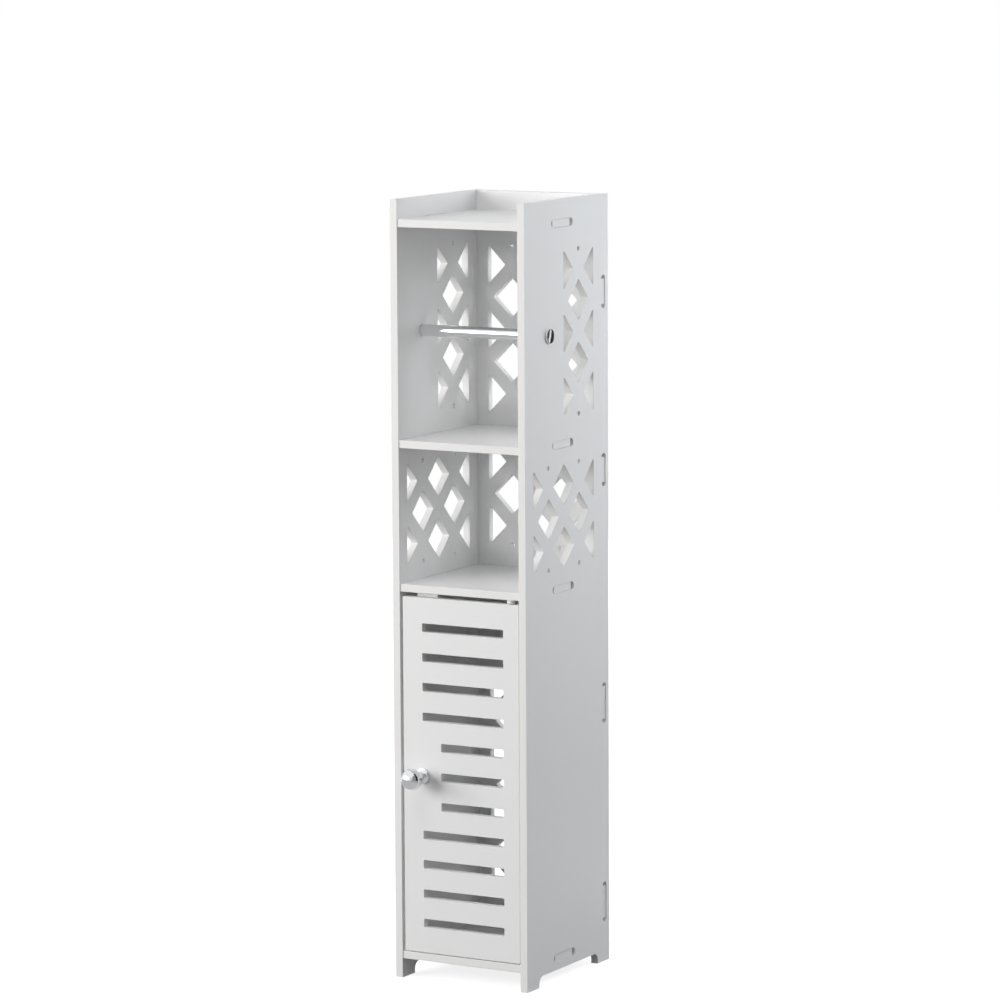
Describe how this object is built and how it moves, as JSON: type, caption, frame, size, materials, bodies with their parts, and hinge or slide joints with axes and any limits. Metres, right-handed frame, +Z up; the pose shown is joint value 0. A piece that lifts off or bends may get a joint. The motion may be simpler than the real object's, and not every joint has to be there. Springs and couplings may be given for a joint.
{
  "type": "freestanding toilet roll holder",
  "caption": "Slim white bathroom cabinet on feet: tray on top, roll compartment with a pull-out rod, open shelf with trellis walls and a cupboard with a louvred door and ball knob.",
  "frame": {"origin": "middle of the bounding box, knob and rod ends included, at floor level", "axes": "+X to the right seen from the front, the front faces -Y, +Z up"},
  "size_m": [0.1606, 0.207, 0.8],
  "materials": {
    "white_board": "smooth satin white PVC foam board with routed edges",
    "white_nylon": "moulded white plastic",
    "grey_plastic": "moulded grey plastic",
    "chrome": "polished chrome plate",
    "zinc_steel": "bright zinc-plated steel",
    "ferrite": "dull dark ferrite magnet"
  },
  "bodies": {
    "cabinet": {"left_side_panel": "white_board", "right_side_panel": "white_board", "upper_back_panel": "white_board", "lower_back_panel": "white_board", "top_shelf": "white_board", "middle_shelf": "white_board", "lower_shelf": "white_board", "bottom_shelf": "white_board", "upper_pivot_bush": "white_nylon", "lower_pivot_bush": "white_nylon", "catch_housing": "white_nylon", "catch_magnet": "ferrite", "catch_screws": "zinc_steel"},
    "door": {"door_panel": "white_board", "knob_collar": "chrome", "knob_ball": "chrome", "knob_screw": "zinc_steel", "upper_pivot_pin": "zinc_steel", "lower_pivot_pin": "zinc_steel", "strike_plate": "zinc_steel", "strike_screw": "zinc_steel"},
    "roll_rod": {"roll_rod": "chrome", "rod_head": "chrome", "rod_plug": "grey_plastic"}
  },
  "joints": [
    {"name": "door_hinge", "type": "hinge", "parent": "cabinet", "child": "door", "pos_m": [0.058, -0.0665, 0.2135], "axis": [0, 0, 1], "range_deg": [0, 135]},
    {"name": "rod_slide", "type": "slide", "parent": "cabinet", "child": "roll_rod", "axis": [1, 0, 0], "range_m": [0, 0.165]}
  ]
}
